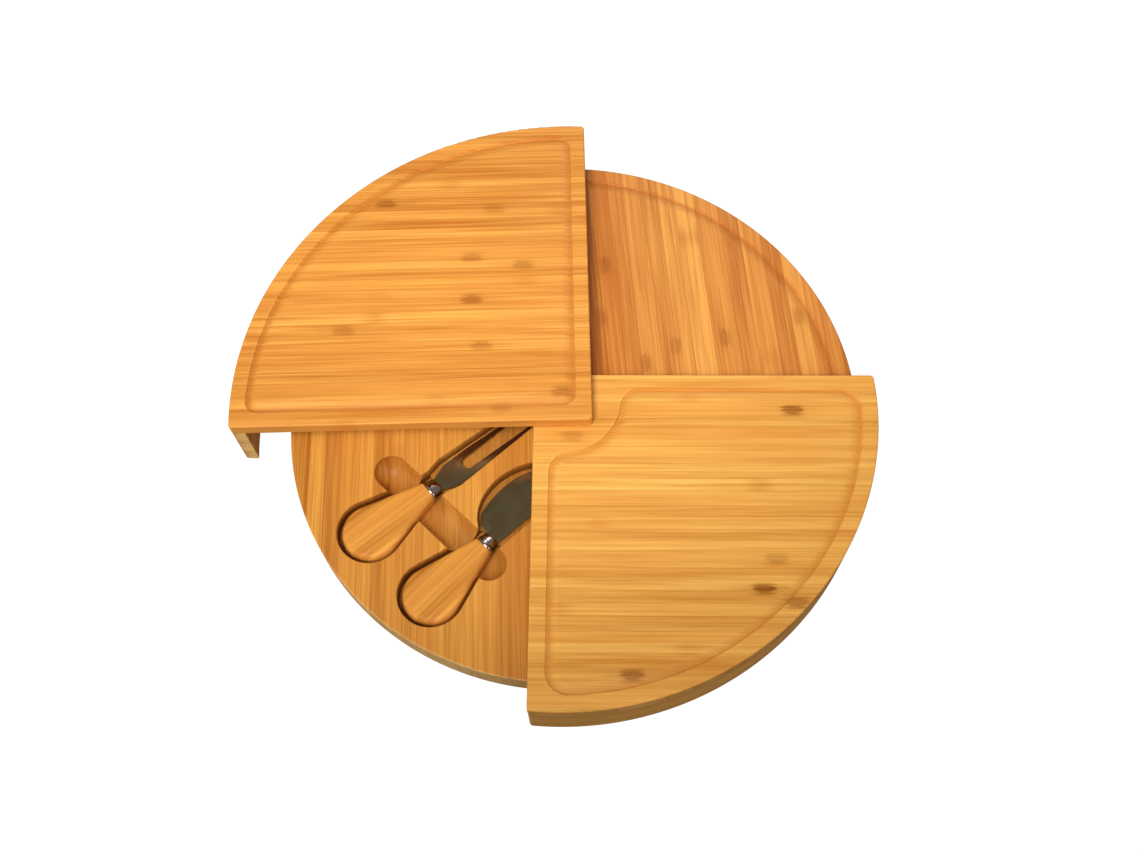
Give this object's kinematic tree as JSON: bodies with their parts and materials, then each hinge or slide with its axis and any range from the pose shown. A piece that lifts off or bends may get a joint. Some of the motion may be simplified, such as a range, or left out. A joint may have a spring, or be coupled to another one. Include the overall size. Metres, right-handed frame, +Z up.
{
  "type": "swivel cheese board",
  "caption": "Bamboo cheese board of nested quarter-round boards that swivel on a hidden pivot from a compact wedge into a stepped circle, with a fork and knife recessed in the base.",
  "frame": {"origin": "on the table, at the middle of the rectangle that the opened boards cover; the pivot is 6 mm to the right of it and 6 mm towards the viewer", "axes": "+Z up from the table, +X to the right and +Y away from the viewer as pictured; the base board lies to the left and towards the viewer"},
  "size_m": [0.4452, 0.4452, 0.0515],
  "materials": {
    "base_bamboo": "oiled satin, grain running front to back",
    "second_bamboo": "oiled satin, wide strips running front to back",
    "third_bamboo": "oiled satin, narrow strips running side to side",
    "top_bamboo": "oiled satin, narrow strips running side to side",
    "handle_bamboo": "satin, grain along the handle",
    "ferrule_chrome": "polished",
    "blade_steel": "satin",
    "bolt_steel": "zinc plated",
    "insert_brass": "plain",
    "spacer_nylon": "plain"
  },
  "bodies": {
    "base": {"base_board": "base_bamboo", "pivot_washer": "bolt_steel", "lower_spacer": "spacer_nylon"},
    "second_board": {"second_plate": "second_bamboo", "second_rim": "second_bamboo", "middle_spacer": "spacer_nylon"},
    "third_board": {"third_plate": "third_bamboo", "third_rim": "third_bamboo", "upper_spacer": "spacer_nylon"},
    "top_board": {"top_plate": "top_bamboo", "top_rim": "top_bamboo", "pivot_insert": "insert_brass", "pivot_bolt": "bolt_steel"},
    "fork": {"fork_handle": "handle_bamboo", "fork_ferrule": "ferrule_chrome", "fork_blade": "blade_steel"},
    "knife": {"knife_handle": "handle_bamboo", "knife_ferrule": "ferrule_chrome", "knife_blade": "blade_steel"}
  },
  "joints": [
    {"name": "second_swivel", "type": "hinge", "parent": "base", "child": "second_board", "pos_m": [0.006, -0.006, 0.026], "axis": [0, 0, 1], "range_deg": [-182.5, 0]},
    {"name": "third_swivel", "type": "hinge", "parent": "base", "child": "third_board", "pos_m": [0.006, -0.006, 0.036], "axis": [0, 0, 1], "range_deg": [-87.4, 0]},
    {"name": "top_swivel", "type": "hinge", "parent": "base", "child": "top_board", "pos_m": [0.006, -0.006, 0.047], "axis": [0, 0, -1], "range_deg": [-90.9, 0]},
    {"name": "fork_lift", "type": "slide", "parent": "base", "child": "fork", "axis": [0, 0, 1], "range_m": [0, 0.015]},
    {"name": "knife_lift", "type": "slide", "parent": "base", "child": "knife", "axis": [0, 0, 1], "range_m": [0, 0.015]}
  ]
}
